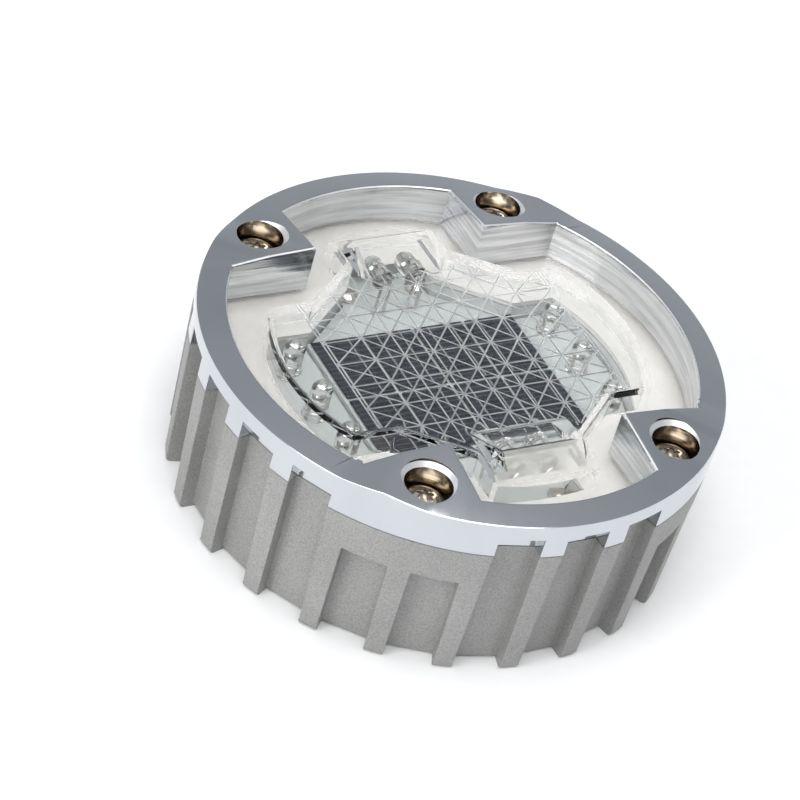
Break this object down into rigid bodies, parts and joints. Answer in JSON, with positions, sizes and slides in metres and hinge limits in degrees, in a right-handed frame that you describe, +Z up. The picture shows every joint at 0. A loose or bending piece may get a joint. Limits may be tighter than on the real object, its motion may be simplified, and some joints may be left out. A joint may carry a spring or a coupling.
{
  "type": "solar road stud",
  "caption": "Round in-ground solar road stud: ribbed cast housing, clear hooded lens over solar cells and lamps, and a screwed polished top ring.",
  "frame": {"origin": "middle of the housing's flat bottom face", "axes": "+Z up out of the pavement, +Y towards one of the two lamp hoods (the directions of traffic), +X across them"},
  "size_m": [0.125, 0.125, 0.0488],
  "materials": {
    "polished_aluminium": "bright polished and clear coated, mirror reflections",
    "cast_aluminium": "fine sand-blasted casting, matt grey",
    "clear_polycarbonate": "clear glossy moulded polycarbonate with a grid of fine grooves on its table",
    "white_silicone": "matt white silicone",
    "nickel_steel": "warm nickel-plated steel, glossy",
    "board_white": "white solder mask",
    "solar_silicon": "dark slate-blue silicon with fine grid fingers under clear resin",
    "led_epoxy": "water-clear epoxy",
    "battery_sleeve": "shrink sleeve with a bare metal end",
    "black_plastic": "satin black",
    "ferrite": "dull dark grey",
    "red_insulation": "satin",
    "black_insulation": "satin"
  },
  "bodies": {
    "root": {"base_housing": "cast_aluminium", "battery_cell_1": "battery_sleeve", "battery_cell_2": "battery_sleeve", "battery_cradle": "black_plastic", "battery_wire_black": "black_insulation", "battery_wire_red": "red_insulation", "board_screw_1": "nickel_steel", "board_screw_2": "nickel_steel", "board_screw_3": "nickel_steel", "board_screw_4": "nickel_steel", "boost_coil": "ferrite", "charge_chip": "black_plastic", "cover_screw_1": "nickel_steel", "cover_screw_2": "nickel_steel", "cover_screw_3": "nickel_steel", "cover_screw_4": "nickel_steel", "cover_washer_1": "nickel_steel", "cover_washer_2": "nickel_steel", "cover_washer_3": "nickel_steel", "cover_washer_4": "nickel_steel", "led_back_left": "led_epoxy", "led_back_right": "led_epoxy", "led_front_left": "led_epoxy", "led_front_right": "led_epoxy", "led_left_1": "led_epoxy", "led_left_2": "led_epoxy", "led_left_3": "led_epoxy", "led_right_1": "led_epoxy", "led_right_2": "led_epoxy", "led_right_3": "led_epoxy", "lens_cover": "clear_polycarbonate", "lens_gasket": "white_silicone", "main_board": "board_white", "solar_board": "board_white", "solar_cell_1": "solar_silicon", "solar_cell_2": "solar_silicon", "solar_cell_3": "solar_silicon", "solar_cell_4": "solar_silicon", "solar_cell_5": "solar_silicon", "solar_cell_6": "solar_silicon", "solar_cell_7": "solar_silicon", "solar_cell_8": "solar_silicon", "storage_capacitor": "black_plastic", "top_ring": "polished_aluminium"}
  },
  "joints": []
}
